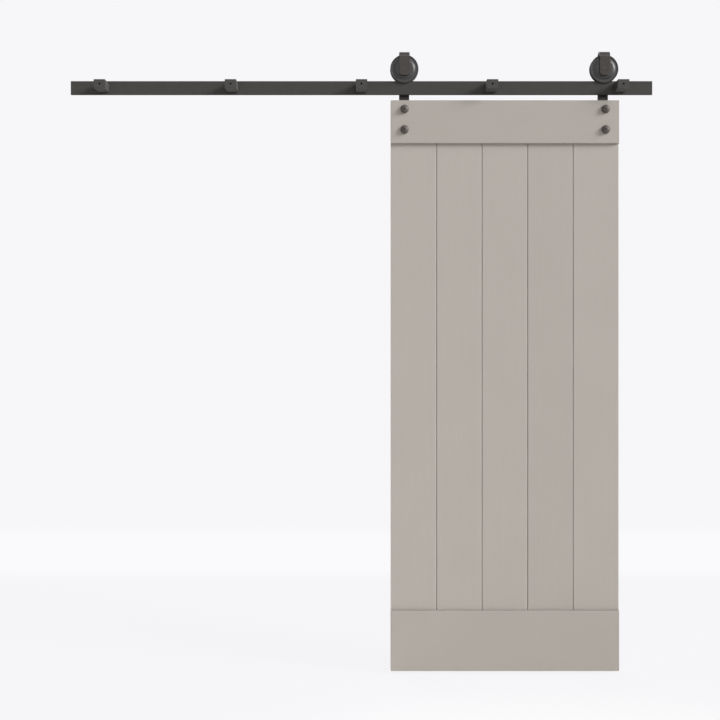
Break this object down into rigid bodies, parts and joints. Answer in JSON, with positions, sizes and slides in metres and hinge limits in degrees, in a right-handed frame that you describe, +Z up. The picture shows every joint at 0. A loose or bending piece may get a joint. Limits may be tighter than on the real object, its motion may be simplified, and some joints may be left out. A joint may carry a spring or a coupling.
{
  "type": "sliding barn door",
  "caption": "Boarded sliding barn door hung by bent strap hangers on grooved wheels that roll along a flat bar wall track on standoff blocks.",
  "frame": {"origin": "middle wall fixing, on its axis in the wall plane, at mid height of the track", "axes": "+X along the track, +Y from the wall into the room, +Z up"},
  "size_m": [2.05, 0.0905, 2.1768],
  "materials": {
    "powder_coat": "satin powder coat, dark grey",
    "door_paint": "matt greige paint on wood",
    "wheel_coat": "satin coat on turned steel, dark grey",
    "black_fasteners": "blackened steel",
    "bearing_steel": "bright bearing steel"
  },
  "bodies": {
    "wall_track": {"track": "powder_coat", "standoff_1": "powder_coat", "standoff_2": "powder_coat", "standoff_3": "powder_coat", "standoff_4": "powder_coat", "standoff_5": "powder_coat"},
    "door_leaf": {"board_1": "door_paint", "board_2": "door_paint", "board_3": "door_paint", "board_4": "door_paint", "board_5": "door_paint", "top_rail_wall": "door_paint", "bottom_rail_wall": "door_paint", "top_rail_room": "door_paint", "bottom_rail_room": "door_paint", "hanger_left": "powder_coat", "barrel_nuts_left": "black_fasteners", "hanger_bolts_left": "black_fasteners", "hanger_washers_left": "black_fasteners", "axle_bolt_left": "black_fasteners", "axle_washer_left": "black_fasteners", "axle_nut_left": "black_fasteners", "axle_bushes_left": "bearing_steel", "bearing_inner_left": "bearing_steel", "hanger_right": "powder_coat", "barrel_nuts_right": "black_fasteners", "hanger_bolts_right": "black_fasteners", "hanger_washers_right": "black_fasteners", "axle_bolt_right": "black_fasteners", "axle_washer_right": "black_fasteners", "axle_nut_right": "black_fasteners", "axle_bushes_right": "bearing_steel", "bearing_inner_right": "bearing_steel"},
    "left_wheel": {"wheel_left": "wheel_coat", "bearing_outer_left": "bearing_steel", "bearing_shields_left": "bearing_steel", "bearing_clip_left": "bearing_steel"},
    "left_balls": {"bearing_balls_left": "bearing_steel", "ball_cage_left": "bearing_steel"},
    "right_wheel": {"wheel_right": "wheel_coat", "bearing_outer_right": "bearing_steel", "bearing_shields_right": "bearing_steel", "bearing_clip_right": "bearing_steel"},
    "right_balls": {"bearing_balls_right": "bearing_steel", "ball_cage_right": "bearing_steel"}
  },
  "joints": [
    {"name": "door_slide", "type": "slide", "parent": "wall_track", "child": "door_leaf", "axis": [1, 0, 0], "range_m": [-1.086, 0.08]},
    {"name": "left_wheel_spin", "type": "hinge", "parent": "door_leaf", "child": "left_wheel", "pos_m": [0.151, 0.059, 0.0663], "axis": [0, 1, 0], "continuous": true},
    {"name": "left_balls_spin", "type": "hinge", "parent": "door_leaf", "child": "left_balls", "pos_m": [0.151, 0.059, 0.0663], "axis": [0, 1, 0], "continuous": true},
    {"name": "right_wheel_spin", "type": "hinge", "parent": "door_leaf", "child": "right_wheel", "pos_m": [0.855, 0.059, 0.0663], "axis": [0, 1, 0], "continuous": true},
    {"name": "right_balls_spin", "type": "hinge", "parent": "door_leaf", "child": "right_balls", "pos_m": [0.855, 0.059, 0.0663], "axis": [0, 1, 0], "continuous": true}
  ],
  "couplings": [
    {"joint": "left_wheel_spin", "follows": "door_slide", "rad_per_m": 23.697},
    {"joint": "left_balls_spin", "follows": "door_slide", "rad_per_m": 15.08},
    {"joint": "right_wheel_spin", "follows": "door_slide", "rad_per_m": 23.697},
    {"joint": "right_balls_spin", "follows": "door_slide", "rad_per_m": 15.08}
  ]
}
